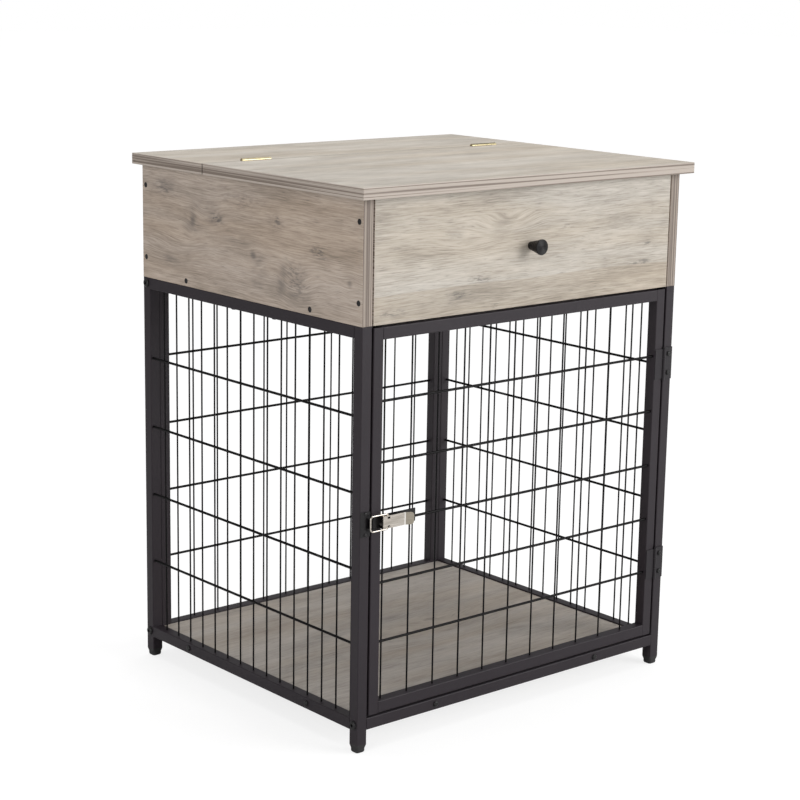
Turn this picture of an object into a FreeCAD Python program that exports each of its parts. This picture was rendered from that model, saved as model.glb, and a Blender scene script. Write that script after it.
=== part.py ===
"""Dog crate end table: a steel tube crate with mesh walls, a hinged mesh door and a
storage box on top whose lid folds back. Millimetres, +Z up, +X to the right along the
front, front towards -Y, origin on the floor at the middle of the whole outline."""

import math
import os

import FreeCAD
import Part

INCH = 25.4

# Outline of the table top and the overhangs of its boards over the box.
TOP_WIDTH = 23.4 * INCH
TOP_DEPTH = 20.0 * INCH
HEIGHT = 28.9 * INCH
TOP_THICKNESS = 15.0
SIDE_OVERHANG = 13.0
FRONT_OVERHANG = 15.0
REAR_OVERHANG = 6.0

# Clearances shared by the fits.
SHAFT_CLEARANCE = 0.05
SEAT_CLEARANCE = 0.3

# Square steel tube, rail heights and foot plugs.
TUBE = 16.0
TUBE_WALL = 1.2
TUBE_CORNER = 1.2
RAIL_BOTTOM = 30.0
FOOT_HEIGHT = 11.5
FOOT_RIM = 1.0
FOOT_TAPER = 5.0
FOOT_INSET = 0.5
FOOT_CORNER = 4.5
FOOT_ROUND = 3.0
FOOT_STEM = 14.0

# Welded wire meshes: number of wires, and the gap left before the first and after the last.
UPRIGHT_RADIUS = 1.15
CROSS_RADIUS = 1.75
MESH_DEPTH = 4.75
WELD_DEPTH = 0.3
SIDE_WIRE_COUNT = 15
SIDE_FIRST_WIRE = 7.3
SIDE_LAST_WIRE = 24.9
SIDE_CROSS_COUNT = 4
BACK_WIRE_COUNT = 12
BACK_FIRST_WIRE = 4.0
BACK_LAST_WIRE = 32.9
DOOR_WIRE_COUNT = 11
DOOR_FIRST_WIRE = 9.0
DOOR_LAST_WIRE = 40.9
DOOR_CROSS_COUNT = 5

# Storage box of laminated board.
BOX_HEIGHT = 159.0
PANEL = 16.0
BASE_THICKNESS = 15.0
FRONT_PANEL_GAP = 2.0
EDGE_ROUND = 0.5

# Crate floor.
FLOOR_THICKNESS = 12.0
FLOOR_LIP = 2.0

# Lid, its joint line and its two butt hinges.
REAR_BOARD_DEPTH = 170.0
LID_GAP = 0.8
LID_HINGE_INSET = 88.2
LID_BARREL = 48.0
LID_KNUCKLES = 5
LID_BARREL_RADIUS = 2.75
LID_PIN_RADIUS = 1.25
LID_PIN_RISE = 0.7
LID_TONGUE_DROP = 1.6
LID_LEAF = 1.0
LID_LEAF_DROP = 12.5
LID_NOTCH_CLEARANCE = 0.4
LID_SCREW_SPREAD = 14.0

# Door gap all round and the door's two hinges.
DOOR_GAP = 3.0
DOOR_HINGE_INSET = 107.0
DOOR_HINGE_HEIGHT = 46.0
DOOR_LEAF_HEIGHT = 43.0
DOOR_LEAF_WIDTH = 16.9
DOOR_LEAF = 1.5
DOOR_KNUCKLE_RADIUS = 2.1
DOOR_PIN_RADIUS = 1.0
DOOR_PIN_HEAD = 1.0
DOOR_PIN_FORWARD = 1.9
DOOR_SCREW_SPREAD = 13.5

# Draw latch: catch on the post, base, lever and bail on the door.
LATCH_RISE = 4.0
LATCH_SHEET = 1.2
CATCH_HEIGHT = 32.6
CATCH_MARGIN = 0.6
WEB_HEIGHT = 14.0
WEB_REACH = 8.0
LATCH_BASE_HEIGHT = 17.2
LATCH_BASE_LENGTH = 69.0
LATCH_BASE_INSET = 3.2
LEVER_PIVOT_INSET = 14.5
LEVER_PIVOT_FORWARD = 5.7
LEVER_HEIGHT = 16.5
LEVER_FLAT = 33.7
LEVER_TIP = 11.4
LEVER_TIP_RISE = 4.6
LEVER_TIP_ROUND = 4.5
LEVER_HEEL = 2.4
LEVER_CHEEK = 10.0
LEVER_CHEEK_DEPTH = 2.2
LEVER_SLOT_START = 4.6
LEVER_SLOT_LENGTH = 4.4
LEVER_SLOT_HEIGHT = 2.6
EAR_RADIUS = 2.0
EAR_NECK = 1.5
BAIL_OFFSET = 7.0
BAIL_RADIUS = 1.2
BAIL_HEIGHT = 22.5
BAIL_BEND = 4.0
BAIL_END_BEND = 1.5
BAIL_END_GAP = 0.7
BAIL_CATCH_GAP = 0.5
LATCH_PIN_RADIUS = 1.0

# Knob on the front panel.
KNOB_LENGTH = 22.0
KNOB_FACE_RADIUS = 10.5
KNOB_BASE_RADIUS = 5.25
KNOB_RIM = 3.0
KNOB_STEP = 0.5

# Fasteners: shank radius, head radius and head height of each kind.
PANEL_SCREW_SHANK = 2.0
PANEL_SCREW_HEAD = 3.75
PANEL_SCREW_HEAD_HEIGHT = 2.0
PANEL_SCREW_SINK = 0.4
PANEL_SCREW_LENGTH = 45.0
PANEL_SCREW_INSET = 29.0
BASE_SCREW_INSET = 105.5
BOLT_SHANK = 2.5
BOLT_HEAD = 6.0
BOLT_HEAD_HEIGHT = 2.6
BOLT_SOCKET = 2.2
BOLT_PLATE = 3.0
BOLT_END = 3.0
BOLT_SOCKET_FLOOR = 0.8
FLOOR_SCREW_SHANK = 1.75
FLOOR_SCREW_HEAD = 4.0
FLOOR_SCREW_HEAD_HEIGHT = 2.2
FLOOR_SCREW_LENGTH = 40.0
FLOOR_SCREW_INSET = 90.5
FLOOR_FRONT_INSET = 118.2
RAIL_SCREW_SHANK = 2.0
RAIL_SCREW_HEAD = 4.2
RAIL_SCREW_HEAD_HEIGHT = 2.4
RAIL_SCREW_LENGTH = 36.0
RAIL_SCREW_WIRE_COUNT = 6
LEAF_SCREW_SHANK = 1.9
LEAF_SCREW_HEAD = 3.7
LEAF_SCREW_HEAD_HEIGHT = 2.0
LEAF_SCREW_LENGTH = 8.0
CATCH_SCREW_SHANK = 1.25
CATCH_SCREW_HEAD = 2.2
CATCH_SCREW_HEAD_HEIGHT = 1.4
CATCH_SCREW_Z = 13.8
LID_SCREW_SHANK = 1.3
LID_SCREW_HEAD = 2.5
LID_SCREW_LENGTH = 12.0
KNOB_SCREW_SHANK = 2.0
KNOB_SCREW_HEAD = 4.0
KNOB_SCREW_HEAD_HEIGHT = 2.3
KNOB_SCREW_GRIP = 10.0
DOWEL_RADIUS = 4.0
DOWEL_LENGTH = 25.0
DOWEL_IN_BOARD = 10.0
DOWEL_FROM_SPLIT = 32.0
DOWEL_FROM_BACK = 38.0

# Planes and levels worked out from the sizes above. The knob stands out beyond the top's
# front edge, so the outline runs from the knob's face to the top's rear edge.
TOP_BACK = (TOP_DEPTH + KNOB_LENGTH - FRONT_OVERHANG) / 2
TOP_FRONT = TOP_BACK - TOP_DEPTH
FRONT = TOP_FRONT + FRONT_OVERHANG
BACK = TOP_BACK - REAR_OVERHANG
SIDE = TOP_WIDTH / 2 - SIDE_OVERHANG
SIDE_IN = SIDE - TUBE
FRONT_IN = FRONT + TUBE
BACK_IN = BACK - TUBE
BOX_TOP = HEIGHT - TOP_THICKNESS
BOX_BOTTOM = BOX_TOP - BOX_HEIGHT
RAIL_TOP = RAIL_BOTTOM + TUBE
HEAD_RAIL = BOX_BOTTOM - TUBE
STILE_IN = SIDE_IN - TUBE
WIRE_LAP = UPRIGHT_RADIUS + CROSS_RADIUS - WELD_DEPTH
FLOOR_TOP = RAIL_TOP - FLOOR_LIP
FLOOR_MIDDLE = FLOOR_TOP - FLOOR_THICKNESS / 2
DOOR_SIDE = SIDE_IN - DOOR_GAP
DOOR_BOTTOM = RAIL_TOP + DOOR_GAP
DOOR_TOP = BOX_BOTTOM - DOOR_GAP
DOOR_STILE_IN = DOOR_SIDE - TUBE
DOOR_PIN_X = DOOR_SIDE + DOOR_GAP / 2
DOOR_PIN_Y = FRONT - DOOR_PIN_FORWARD
DOOR_RAIL_LOW = DOOR_BOTTOM + TUBE
DOOR_RAIL_HIGH = DOOR_TOP - TUBE
SPLIT = TOP_BACK - REAR_BOARD_DEPTH
LID_HINGE_X = TOP_WIDTH / 2 - LID_HINGE_INSET
LID_PIN_Z = HEIGHT + LID_PIN_RISE
PANEL_IN = SIDE - PANEL
BASE_TOP = BOX_BOTTOM + BASE_THICKNESS
KNOB_Z = (BOX_BOTTOM + BOX_TOP) / 2
LATCH_Z = (DOOR_BOTTOM + DOOR_TOP) / 2 + LATCH_RISE
LEVER_PIVOT_X = LEVER_PIVOT_INSET - DOOR_SIDE
LEVER_PIVOT_Y = FRONT - LEVER_PIVOT_FORWARD
BAIL_PIVOT_X = LEVER_PIVOT_X + BAIL_OFFSET
BAIL_BAR_X = -SIDE_IN - LATCH_SHEET - BAIL_CATCH_GAP - BAIL_RADIUS
POST_CENTRE_X = SIDE - TUBE / 2
FRONT_POST_Y = FRONT + TUBE / 2
REAR_POST_Y = BACK - TUBE / 2

# Pitches of the wires, worked out from the frame each mesh is welded into.
SIDE_WIRE_PITCH = (BACK_IN - FRONT_IN - SIDE_FIRST_WIRE - SIDE_LAST_WIRE) / (SIDE_WIRE_COUNT - 1)
BACK_WIRE_PITCH = (2 * STILE_IN - BACK_FIRST_WIRE - BACK_LAST_WIRE) / (BACK_WIRE_COUNT - 1)
DOOR_WIRE_PITCH = (2 * DOOR_STILE_IN - DOOR_FIRST_WIRE - DOOR_LAST_WIRE) / (DOOR_WIRE_COUNT - 1)
SIDE_CROSS_PITCH = (HEAD_RAIL - RAIL_TOP) / (SIDE_CROSS_COUNT + 1)
DOOR_CROSS_PITCH = (DOOR_RAIL_HIGH - DOOR_RAIL_LOW) / (DOOR_CROSS_COUNT + 1)

SIDES = (("left", -1), ("right", 1))
DOOR_HINGES = (("lower", DOOR_BOTTOM + DOOR_HINGE_INSET), ("upper", DOOR_TOP - DOOR_HINGE_INSET))
LID_HINGES = [(name, sign * LID_HINGE_X) for name, sign in SIDES]


def save(name, shape):
    """Writes one sub-part."""
    shape.exportStep("parts/" + name + ".step")


def box(a, b):
    """Block between two opposite corners, given in any order."""
    low = FreeCAD.Vector(min(a[0], b[0]), min(a[1], b[1]), min(a[2], b[2]))
    return Part.makeBox(abs(b[0] - a[0]), abs(b[1] - a[1]), abs(b[2] - a[2]), low)


def edges_along(shape, axis):
    """Straight edges of a shape that run along one axis."""
    return [e for e in shape.Edges if abs(e.tangentAt(e.FirstParameter)[axis]) > 0.9]


def board(a, b):
    """Laminated board with its edges slightly eased."""
    plank = box(a, b)
    return plank.makeFillet(EDGE_ROUND, plank.Edges)


def tube(a, b, axis, end_wall=0.0):
    """Square tube with rounded corners; its bore stops short of the ends by end_wall."""
    bar = box(a, b)
    bar = bar.makeFillet(TUBE_CORNER, edges_along(bar, axis))
    low = [min(p, q) + TUBE_WALL for p, q in zip(a, b)]
    high = [max(p, q) - TUBE_WALL for p, q in zip(a, b)]
    low[axis] = min(a[axis], b[axis]) + end_wall
    high[axis] = max(a[axis], b[axis]) - end_wall
    return bar.cut(box(low, high))


def rod(radius, start, end):
    """Round bar between two points."""
    a = FreeCAD.Vector(*start)
    b = FreeCAD.Vector(*end)
    return Part.makeCylinder(radius, (b - a).Length, a, b - a)


def drill(shape, radius, start, inward, depth):
    """Takes a round hole out of a shape."""
    start = FreeCAD.Vector(*start)
    return shape.cut(Part.makeCylinder(radius, depth, start, FreeCAD.Vector(*inward)))


def domed_screw(seat, inward, shank, length, head, height):
    """Screw whose domed head stands on the seat, with the shank running inward."""
    seat = FreeCAD.Vector(*seat)
    inward = FreeCAD.Vector(*inward)
    crown = seat - inward * height
    cap = Part.makeCylinder(head, height, crown, inward)
    rim = [e for e in cap.Edges if (e.CenterOfMass - crown).Length < 0.01]
    cap = cap.makeFillet(height * 0.8, rim)
    return cap.fuse(Part.makeCylinder(shank, length, seat, inward))


def bent_rod(radius, corners, bends):
    """Round bar along a path of square corners, each with its own bend radius."""
    points = [FreeCAD.Vector(*corner) for corner in corners]
    start = points[0]
    path = []
    for before, corner, after, bend in zip(points, points[1:], points[2:], bends):
        back = (before - corner).normalize() * bend
        ahead = (after - corner).normalize() * bend
        middle = corner + (back + ahead) * (1 - math.sqrt(0.5))
        path.append(Part.makeLine(start, corner + back))
        path.append(Part.Arc(corner + back, middle, corner + ahead).toShape())
        start = corner + ahead
    path.append(Part.makeLine(start, points[-1]))
    section = Part.Wire(Part.makeCircle(radius, points[0], points[1] - points[0]))
    return Part.Wire(path).makePipeShell([section], True, False)


def mesh(wires):
    """Wires welded where they cross."""
    return wires[0].multiFuse(wires[1:])


# Frame bolts: through the posts' outer faces, two in each rear post and one low in each
# front post, at the heights of the rails.
LOW_BOLT = (RAIL_BOTTOM + RAIL_TOP) / 2
HIGH_BOLT = (HEAD_RAIL + BOX_BOTTOM) / 2
BOLTS = [(REAR_POST_Y, LOW_BOLT), (REAR_POST_Y, HIGH_BOLT), (FRONT_POST_Y, LOW_BOLT)]
BOLT_LENGTH = TUBE + BOLT_PLATE + BOLT_END


def bolt_holes(shape, sign):
    """Bolt holes of one side of the frame."""
    for y, z in BOLTS:
        seat = (sign * SIDE, y, z)
        shape = drill(shape, BOLT_SHANK + SHAFT_CLEARANCE, seat, (-sign, 0, 0), BOLT_LENGTH)
    return shape


def frame_bolts():
    bolts = []
    for _, sign in SIDES:
        for y, z in BOLTS:
            seat = (sign * SIDE, y, z)
            inward = (-sign, 0, 0)
            bolt = domed_screw(seat, inward, BOLT_SHANK, BOLT_LENGTH, BOLT_HEAD, BOLT_HEAD_HEIGHT)
            crown = (sign * (SIDE + BOLT_HEAD_HEIGHT), y, z)
            bolts.append(drill(bolt, BOLT_SOCKET, crown, inward, BOLT_HEAD_HEIGHT - BOLT_SOCKET_FLOOR))
    save("frame_bolts", Part.makeCompound(bolts))


# Posts: upright tubes at the four corners, flush with the box above them.
def posts():
    for side, sign in SIDES:
        for end, y in (("front", FRONT), ("rear", BACK_IN)):
            post = tube((sign * SIDE_IN, y, FOOT_HEIGHT), (sign * SIDE, y + TUBE, BOX_BOTTOM), 2)
            post = bolt_holes(post, sign)
            if end == "front" and side == "right":
                post = door_hinge_holes(post)
            if end == "front" and side == "left":
                post = catch_holes(post)
            save(end + "_" + side + "_post", post)


# Foot plugs: moulded caps under the posts, with a thin square rim that tapers to a rounded
# foot, and a square stem inside the tube.
def foot_block(sign, y, inset, corner, low, high):
    """Square block with rounded corners on a post's axis, inset from the post's faces."""
    start = (sign * (SIDE_IN + inset), y + inset, low)
    block = box(start, (sign * (SIDE - inset), y + TUBE - inset, high))
    return block.makeFillet(corner, edges_along(block, 2))


def outline_at(block, z):
    """Outline of a block's level face at a height."""
    faces = [f for f in block.Faces if f.BoundBox.ZMax < z + 0.01 and f.BoundBox.ZMin > z - 0.01]
    return faces[0].OuterWire


def foot_plugs():
    neck = FOOT_HEIGHT - FOOT_RIM
    knee = neck - FOOT_TAPER
    inset = TUBE_WALL + SEAT_CLEARANCE / 2
    plugs = []
    for _, sign in SIDES:
        for y in (FRONT, BACK_IN):
            rim = foot_block(sign, y, 0, TUBE_CORNER, neck, FOOT_HEIGHT)
            foot = foot_block(sign, y, FOOT_INSET, FOOT_CORNER, 0, knee)
            taper = Part.makeLoft([outline_at(rim, neck), outline_at(foot, knee)], True, True)
            foot = foot.makeFillet(FOOT_ROUND, outline_at(foot, 0).Edges)
            stem = foot_block(sign, y, inset, TUBE_CORNER, FOOT_HEIGHT, FOOT_HEIGHT + FOOT_STEM)
            plugs.append(rim.fuse([taper, foot, stem]).removeSplitter())
    save("foot_plugs", Part.makeCompound(plugs))


# Side rails: lower rail at the floor board and head rail under the storage box. The floor
# screws cross the lower rail. The box screws come up through the head rail, each halfway
# between two uprights of the mesh.
FLOOR_SCREW_Y = (FRONT_IN + FLOOR_SCREW_INSET, BACK_IN - FLOOR_SCREW_INSET)
RAIL_SCREW_INSET = (RAIL_SCREW_WIRE_COUNT - 0.5) * SIDE_WIRE_PITCH
RAIL_SCREW_Y = (
    FRONT_IN + SIDE_FIRST_WIRE + RAIL_SCREW_INSET,
    BACK_IN - SIDE_LAST_WIRE - RAIL_SCREW_INSET,
)


def side_rails():
    for side, sign in SIDES:
        low = tube((sign * SIDE_IN, FRONT_IN, RAIL_BOTTOM), (sign * SIDE, BACK_IN, RAIL_TOP), 1)
        for y in FLOOR_SCREW_Y:
            seat = (sign * SIDE, y, FLOOR_MIDDLE)
            low = drill(low, FLOOR_SCREW_SHANK + SHAFT_CLEARANCE, seat, (-sign, 0, 0), TUBE)
        save(side + "_bottom_rail", low)
        head = tube((sign * SIDE_IN, FRONT_IN, HEAD_RAIL), (sign * SIDE, BACK_IN, BOX_BOTTOM), 1)
        for y in RAIL_SCREW_Y:
            seat = (sign * POST_CENTRE_X, y, HEAD_RAIL)
            head = drill(head, RAIL_SCREW_SHANK + SHAFT_CLEARANCE, seat, (0, 0, 1), TUBE)
        save(side + "_top_rail", head)


# Front sill: tube between the front posts with closed ends that take the frame bolts.
def front_bottom_rail():
    rail = tube((-SIDE_IN, FRONT, RAIL_BOTTOM), (SIDE_IN, FRONT_IN, RAIL_TOP), 0, BOLT_PLATE)
    for _, sign in SIDES:
        rail = bolt_holes(rail, sign)
        seat = (sign * (SIDE_IN - FLOOR_FRONT_INSET), FRONT, FLOOR_MIDDLE)
        rail = drill(rail, FLOOR_SCREW_SHANK + SHAFT_CLEARANCE, seat, (0, 1, 0), TUBE)
    save("front_bottom_rail", rail)


# Back frame: two stiles against the rear posts and two rails between them.
def back_frame():
    for side, sign in SIDES:
        stile = tube((sign * STILE_IN, BACK_IN, RAIL_BOTTOM), (sign * SIDE_IN, BACK, BOX_BOTTOM), 2)
        save("back_" + side + "_stile", bolt_holes(stile, sign))
    save("back_bottom_rail", tube((-STILE_IN, BACK_IN, RAIL_BOTTOM), (STILE_IN, BACK, RAIL_TOP), 0))
    save("back_top_rail", tube((-STILE_IN, BACK_IN, HEAD_RAIL), (STILE_IN, BACK, BOX_BOTTOM), 0))


# Meshes: wires welded to the inner faces of their frames, cross wires outside the uprights.
def side_meshes():
    for side, sign in SIDES:
        outer = sign * (SIDE - MESH_DEPTH)
        inner = sign * (SIDE - MESH_DEPTH - WIRE_LAP)
        wires = []
        for i in range(SIDE_CROSS_COUNT):
            z = RAIL_TOP + (i + 1) * SIDE_CROSS_PITCH
            wires.append(rod(CROSS_RADIUS, (outer, FRONT_IN, z), (outer, BACK_IN, z)))
        for i in range(SIDE_WIRE_COUNT):
            y = FRONT_IN + SIDE_FIRST_WIRE + i * SIDE_WIRE_PITCH
            wires.append(rod(UPRIGHT_RADIUS, (inner, y, RAIL_TOP), (inner, y, HEAD_RAIL)))
        save(side + "_mesh", mesh(wires))


def back_mesh():
    outer = BACK - MESH_DEPTH
    inner = outer - WIRE_LAP
    wires = []
    for i in range(SIDE_CROSS_COUNT):
        z = RAIL_TOP + (i + 1) * SIDE_CROSS_PITCH
        wires.append(rod(CROSS_RADIUS, (-STILE_IN, outer, z), (STILE_IN, outer, z)))
    for i in range(BACK_WIRE_COUNT):
        x = -STILE_IN + BACK_FIRST_WIRE + i * BACK_WIRE_PITCH
        wires.append(rod(UPRIGHT_RADIUS, (x, inner, RAIL_TOP), (x, inner, HEAD_RAIL)))
    save("back_mesh", mesh(wires))


# Crate floor: a board let in between the lower rails, screwed through them.
def floor_board():
    gap = SEAT_CLEARANCE
    panel = board(
        (gap - SIDE_IN, FRONT_IN + gap, FLOOR_TOP - FLOOR_THICKNESS),
        (SIDE_IN - gap, BACK_IN - gap, FLOOR_TOP),
    )
    for seat, inward in floor_screw_seats():
        panel = drill(panel, FLOOR_SCREW_SHANK + SHAFT_CLEARANCE, seat, inward, FLOOR_SCREW_LENGTH)
    save("floor_board", panel)


def floor_screw_seats():
    """Seat and direction of each floor screw: two through each side, two through the front."""
    seats = []
    for _, sign in SIDES:
        for y in FLOOR_SCREW_Y:
            seats.append(((sign * SIDE, y, FLOOR_MIDDLE), (-sign, 0, 0)))
        seats.append(((sign * (SIDE_IN - FLOOR_FRONT_INSET), FRONT, FLOOR_MIDDLE), (0, 1, 0)))
    return seats


def floor_screws():
    screws = []
    for seat, inward in floor_screw_seats():
        size = (FLOOR_SCREW_SHANK, FLOOR_SCREW_LENGTH, FLOOR_SCREW_HEAD, FLOOR_SCREW_HEAD_HEIGHT)
        screws.append(domed_screw(seat, inward, *size))
    save("floor_screws", Part.makeCompound(screws))


# Storage box: side panels on the side frames, front and back panels and a base between
# them. Six sunk screws in each side panel hold the front, the back and the base.
END_Z = (BOX_BOTTOM + PANEL_SCREW_INSET, BOX_TOP - PANEL_SCREW_INSET)
BASE_Z = BOX_BOTTOM + BASE_THICKNESS / 2
PANEL_SCREWS = [(FRONT + PANEL / 2, z) for z in END_Z]
PANEL_SCREWS += [(BACK - PANEL / 2, z) for z in END_Z]
PANEL_SCREWS += [(y, BASE_Z) for y in (FRONT + BASE_SCREW_INSET, BACK - BASE_SCREW_INSET)]


def panel_screw_holes(shape, sign):
    """Pilot holes of one side's panel screws."""
    for y, z in PANEL_SCREWS:
        seat = (sign * SIDE, y, z)
        hole = PANEL_SCREW_SHANK + SHAFT_CLEARANCE
        shape = drill(shape, hole, seat, (-sign, 0, 0), PANEL_SCREW_LENGTH)
    return shape


def panel_screws():
    screws = []
    for _, sign in SIDES:
        for y, z in PANEL_SCREWS:
            face = sign * (SIDE - PANEL_SCREW_SINK)
            neck = sign * (SIDE - PANEL_SCREW_SINK - PANEL_SCREW_HEAD_HEIGHT)
            tip = sign * (SIDE - PANEL_SCREW_LENGTH)
            head = rod(PANEL_SCREW_HEAD, (face, y, z), (neck, y, z))
            shank = rod(PANEL_SCREW_SHANK, (neck, y, z), (tip, y, z))
            screws.append(head.fuse(shank))
    save("panel_screws", Part.makeCompound(screws))


def box_side_panels():
    sunk = PANEL_SCREW_SINK + PANEL_SCREW_HEAD_HEIGHT
    for side, sign in SIDES:
        panel = board((sign * PANEL_IN, FRONT, BOX_BOTTOM), (sign * SIDE, BACK, BOX_TOP))
        panel = panel_screw_holes(panel, sign)
        for y, z in PANEL_SCREWS:
            seat = (sign * SIDE, y, z)
            panel = drill(panel, PANEL_SCREW_HEAD + SHAFT_CLEARANCE, seat, (-sign, 0, 0), sunk)
        for y in RAIL_SCREW_Y:
            seat = (sign * POST_CENTRE_X, y, HEAD_RAIL)
            panel = drill(panel, RAIL_SCREW_SHANK + SHAFT_CLEARANCE, seat, (0, 0, 1), RAIL_SCREW_LENGTH)
        save("box_" + side + "_panel", dowel_holes(panel, sign))


def rail_screws():
    screws = []
    for _, sign in SIDES:
        for y in RAIL_SCREW_Y:
            seat = (sign * POST_CENTRE_X, y, HEAD_RAIL)
            size = (RAIL_SCREW_SHANK, RAIL_SCREW_LENGTH, RAIL_SCREW_HEAD, RAIL_SCREW_HEAD_HEIGHT)
            screws.append(domed_screw(seat, (0, 0, 1), *size))
    save("box_to_frame_screws", Part.makeCompound(screws))


def box_front_panel():
    end = PANEL_IN - FRONT_PANEL_GAP
    panel = board((-end, FRONT, BOX_BOTTOM), (end, FRONT + PANEL, BOX_TOP))
    for _, sign in SIDES:
        panel = panel_screw_holes(panel, sign)
    panel = drill(panel, KNOB_SCREW_SHANK + SHAFT_CLEARANCE, (0, FRONT, KNOB_Z), (0, 1, 0), PANEL)
    save("box_front_panel", panel)


def box_back_panel():
    panel = board((-PANEL_IN, BACK - PANEL, BOX_BOTTOM), (PANEL_IN, BACK, BOX_TOP))
    for _, sign in SIDES:
        panel = panel_screw_holes(panel, sign)
    save("box_back_panel", panel)


def box_base():
    panel = board((-PANEL_IN, FRONT + PANEL, BOX_BOTTOM), (PANEL_IN, BACK - PANEL, BASE_TOP))
    for _, sign in SIDES:
        panel = panel_screw_holes(panel, sign)
    save("box_base", panel)


# Knob: a cone that widens to its face, held by a screw from inside the box.
def knob():
    root = FreeCAD.Vector(0, FRONT, KNOB_Z)
    out = FreeCAD.Vector(0, -1, 0)
    neck = KNOB_LENGTH - KNOB_RIM
    cone = Part.makeCone(KNOB_BASE_RADIUS, KNOB_FACE_RADIUS - KNOB_STEP, neck, root, out)
    rim = Part.makeCylinder(KNOB_FACE_RADIUS, KNOB_RIM, root + out * neck, out)
    rim = rim.makeFillet(KNOB_RIM / 3, [e for e in rim.Edges if e.Closed])
    body = cone.fuse(rim)
    depth = KNOB_SCREW_GRIP + SEAT_CLEARANCE
    save("knob", drill(body, KNOB_SCREW_SHANK + SHAFT_CLEARANCE, root, out, depth))
    seat = (0, FRONT + PANEL, KNOB_Z)
    size = (KNOB_SCREW_SHANK, PANEL + KNOB_SCREW_GRIP, KNOB_SCREW_HEAD, KNOB_SCREW_HEAD_HEIGHT)
    save("knob_screw", domed_screw(seat, out, *size))


# Top: a fixed rear board on dowels and a lid in front of it. Both are cut back for the
# hinge barrels and leaves along their joint.
DOWELS = (SPLIT + DOWEL_FROM_SPLIT, TOP_BACK - DOWEL_FROM_BACK)
DOWEL_BOTTOM = BOX_TOP + DOWEL_IN_BOARD - DOWEL_LENGTH


def dowel_holes(shape, sign):
    """Dowel holes of one side."""
    for y in DOWELS:
        start = (sign * (SIDE - PANEL / 2), y, DOWEL_BOTTOM)
        shape = drill(shape, DOWEL_RADIUS + SHAFT_CLEARANCE, start, (0, 0, 1), DOWEL_LENGTH)
    return shape


def dowels():
    pins = []
    for _, sign in SIDES:
        for y in DOWELS:
            x = sign * (SIDE - PANEL / 2)
            pins.append(rod(DOWEL_RADIUS, (x, y, DOWEL_BOTTOM), (x, y, DOWEL_BOTTOM + DOWEL_LENGTH)))
    save("rear_board_dowels", Part.makeCompound(pins))


def lid_leaf_edge(way):
    """Board edge at the joint on the side that way points to."""
    return SPLIT + way * LID_GAP / 2


def hinge_cutouts(shape, way):
    """Barrel notch, leaf recess and screw pilots of the two lid hinges in one board."""
    edge = lid_leaf_edge(way)
    notch = LID_BARREL_RADIUS + LID_NOTCH_CLEARANCE
    half = LID_BARREL / 2 + SEAT_CLEARANCE
    for _, x in LID_HINGES:
        shape = shape.cut(rod(notch, (x - half, SPLIT, LID_PIN_Z), (x + half, SPLIT, LID_PIN_Z)))
        bottom = LID_PIN_Z - LID_LEAF_DROP - SEAT_CLEARANCE
        shape = shape.cut(box((x - half, edge, bottom), (x + half, edge + way * LID_LEAF, LID_PIN_Z)))
        for seat in lid_screw_seats(x, way):
            pilot = LID_SCREW_SHANK + SHAFT_CLEARANCE
            shape = drill(shape, pilot, seat, (0, way, 0), LID_SCREW_LENGTH)
    return shape


def lid_screw_seats(x, way):
    """Outer ends of the countersunk screws of one leaf."""
    z = LID_PIN_Z - LID_LEAF_DROP / 2 - LID_BARREL_RADIUS / 2
    return [(x + offset, lid_leaf_edge(way), z) for offset in (-LID_SCREW_SPREAD, LID_SCREW_SPREAD)]


def top_boards():
    rear = board((-TOP_WIDTH / 2, lid_leaf_edge(1), BOX_TOP), (TOP_WIDTH / 2, TOP_BACK, HEIGHT))
    rear = hinge_cutouts(rear, 1)
    for _, sign in SIDES:
        rear = dowel_holes(rear, sign)
    save("rear_top_board", rear)
    lid = board((-TOP_WIDTH / 2, TOP_FRONT, BOX_TOP), (TOP_WIDTH / 2, lid_leaf_edge(-1), HEIGHT))
    save("lid", hinge_cutouts(lid, -1))


def countersunk(seat, way, grow):
    """Cone of a countersunk head in a leaf; grow widens it for the hole."""
    top = LID_SCREW_HEAD + grow
    neck = LID_SCREW_SHANK + grow
    return Part.makeCone(top, neck, LID_LEAF, FreeCAD.Vector(*seat), FreeCAD.Vector(0, way, 0))


def lid_leaf(x, way, first):
    """One leaf of a lid hinge: a plate on the board's edge and every other knuckle."""
    edge = lid_leaf_edge(way)
    clear = LID_BARREL_RADIUS + LID_NOTCH_CLEARANCE
    start = x - LID_BARREL / 2
    plate_low = (start, edge, LID_PIN_Z - LID_LEAF_DROP)
    leaf = box(plate_low, (start + LID_BARREL, edge + way * LID_LEAF, LID_PIN_Z - clear))
    pitch = LID_BARREL / LID_KNUCKLES
    for i in range(first, LID_KNUCKLES, 2):
        low = start + i * pitch + (SEAT_CLEARANCE / 2 if i > 0 else 0)
        high = start + (i + 1) * pitch - (SEAT_CLEARANCE / 2 if i < LID_KNUCKLES - 1 else 0)
        reach = (high, edge + way * LID_LEAF, LID_PIN_Z - LID_TONGUE_DROP)
        tongue = box((low, edge, LID_PIN_Z - clear), reach)
        knuckle = rod(LID_BARREL_RADIUS, (low, SPLIT, LID_PIN_Z), (high, SPLIT, LID_PIN_Z))
        leaf = leaf.fuse([tongue, knuckle])
    leaf = drill(leaf, LID_PIN_RADIUS + SHAFT_CLEARANCE, (start, SPLIT, LID_PIN_Z), (1, 0, 0), LID_BARREL)
    for seat in lid_screw_seats(x, way):
        leaf = leaf.cut(countersunk(seat, way, SHAFT_CLEARANCE))
    return leaf


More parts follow.
